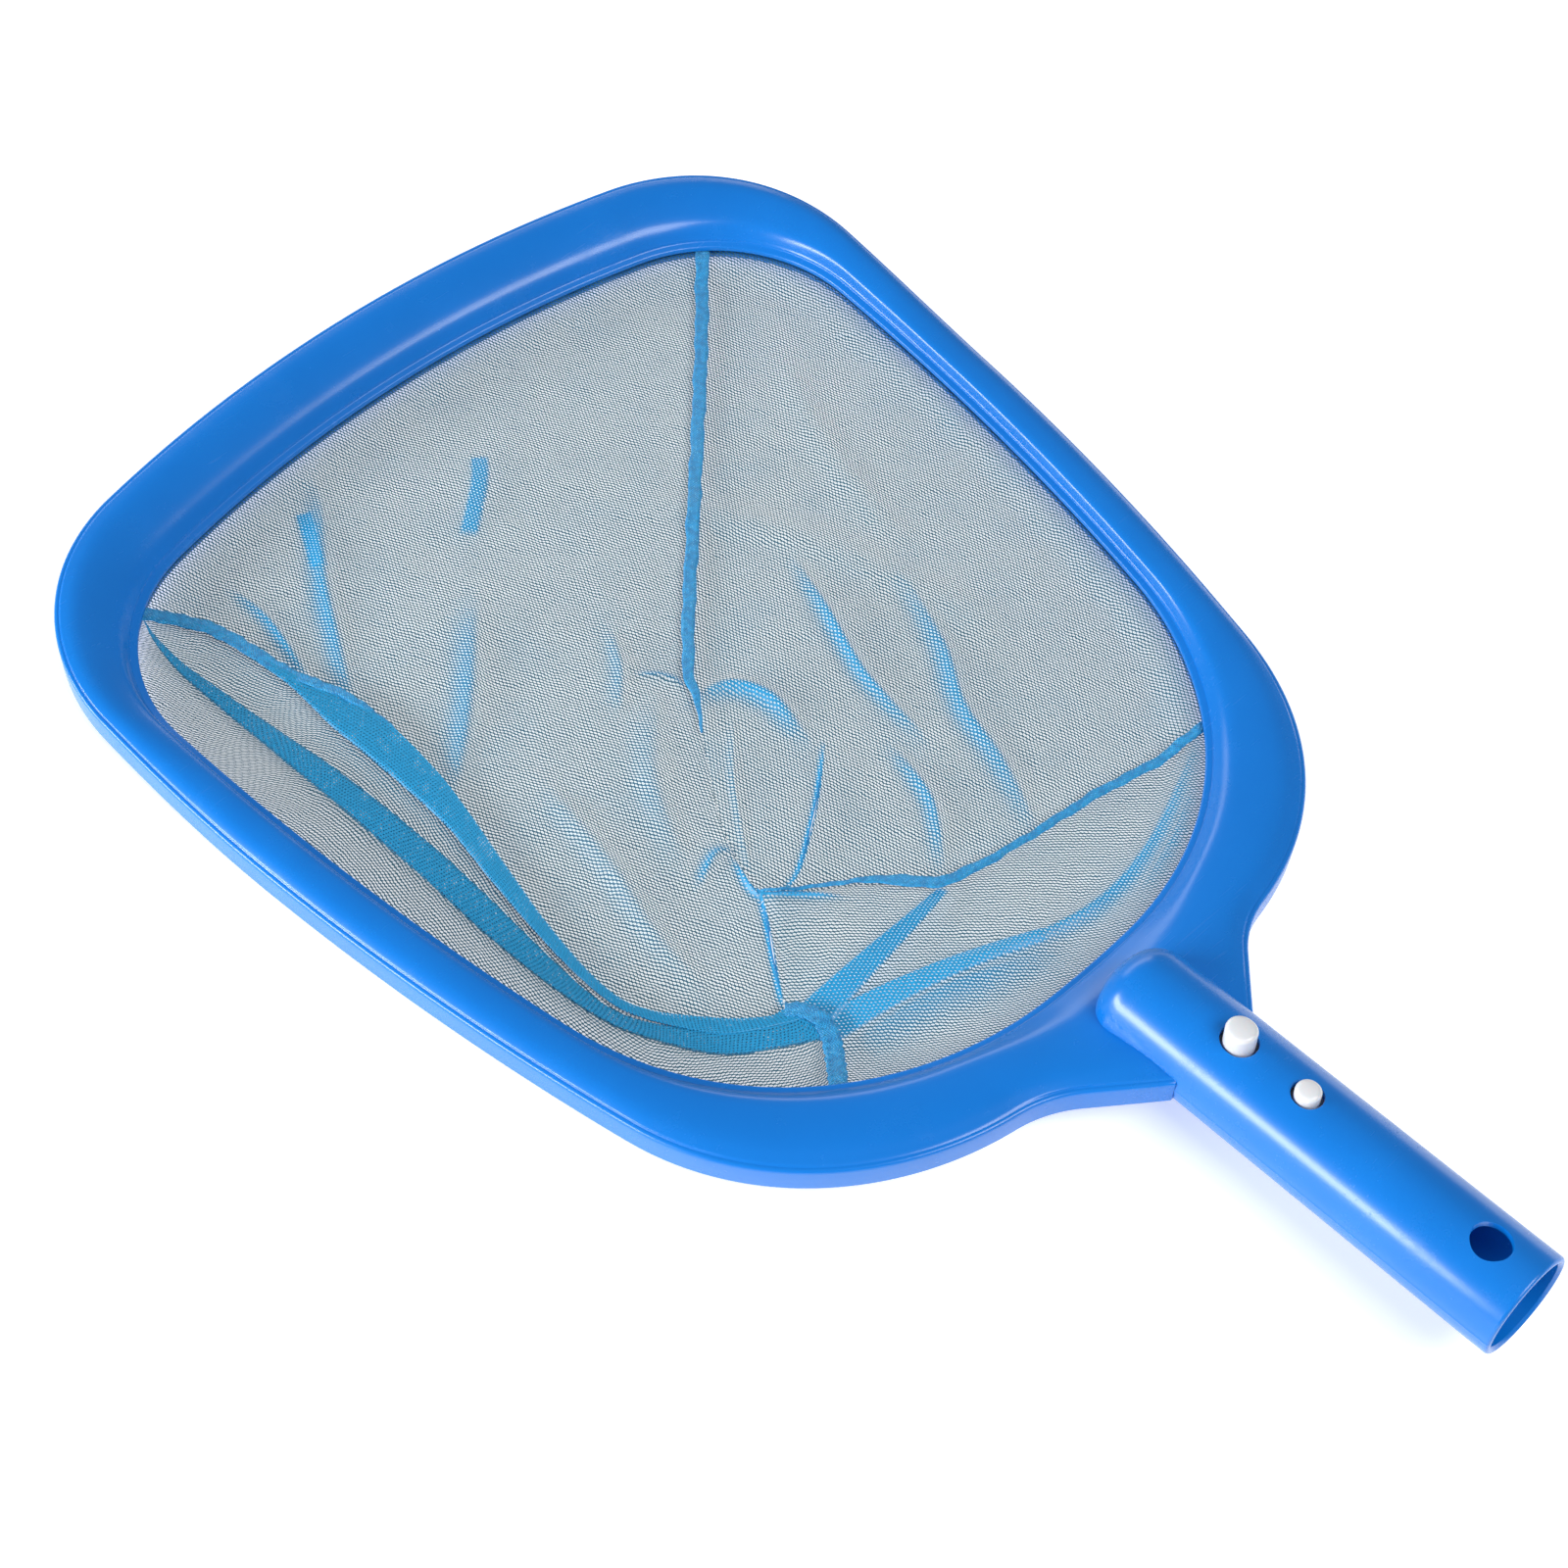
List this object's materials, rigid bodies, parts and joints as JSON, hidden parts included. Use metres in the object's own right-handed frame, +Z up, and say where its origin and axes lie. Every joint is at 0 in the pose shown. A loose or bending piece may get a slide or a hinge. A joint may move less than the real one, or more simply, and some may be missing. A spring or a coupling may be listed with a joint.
{
  "type": "leaf skimmer net",
  "caption": "Pool leaf skimmer: broad plastic scoop frame with a shallow seamed mesh bag and a round clip-in handle socket with spring buttons.",
  "frame": {"origin": "centre of the bounding box in plan, on the ground plane under the rim", "axes": "+Z up, +Y towards the broad front edge, -Y along the handle socket, +X to the right seen from the handle"},
  "size_m": [0.2768, 0.4328, 0.0403],
  "materials": {
    "shell_blue": "glossy moulded polypropylene",
    "shell_blue_low": "glossy moulded polypropylene",
    "net_blue": "fine knitted mesh",
    "tape_blue": "woven binding tape",
    "hem_blue": "folded and stitched mesh",
    "clip_white": "glossy nylon"
  },
  "bodies": {
    "frame": {"frame_upper_shell": "shell_blue", "frame_lower_shell": "shell_blue_low", "net_hem": "hem_blue", "net_gore_front": "net_blue", "net_gore_right": "net_blue", "net_gore_handle": "net_blue", "net_gore_left": "net_blue", "seam_tape_front_right": "tape_blue", "seam_tape_front_left": "tape_blue", "seam_tape_handle_right": "tape_blue", "seam_tape_handle_left": "tape_blue", "clip_spring_base": "clip_white"},
    "clip": {"clip_spring_arm": "clip_white", "release_button": "clip_white", "lock_button": "clip_white"}
  },
  "joints": [
    {"name": "clip_press", "type": "hinge", "parent": "frame", "child": "clip", "pos_m": [0, -0.1069, 0.02704], "axis": [1, 0, 0], "range_deg": [0, 3.1], "stiffness_Nm_per_rad": 3, "springref_deg": -1.15}
  ]
}
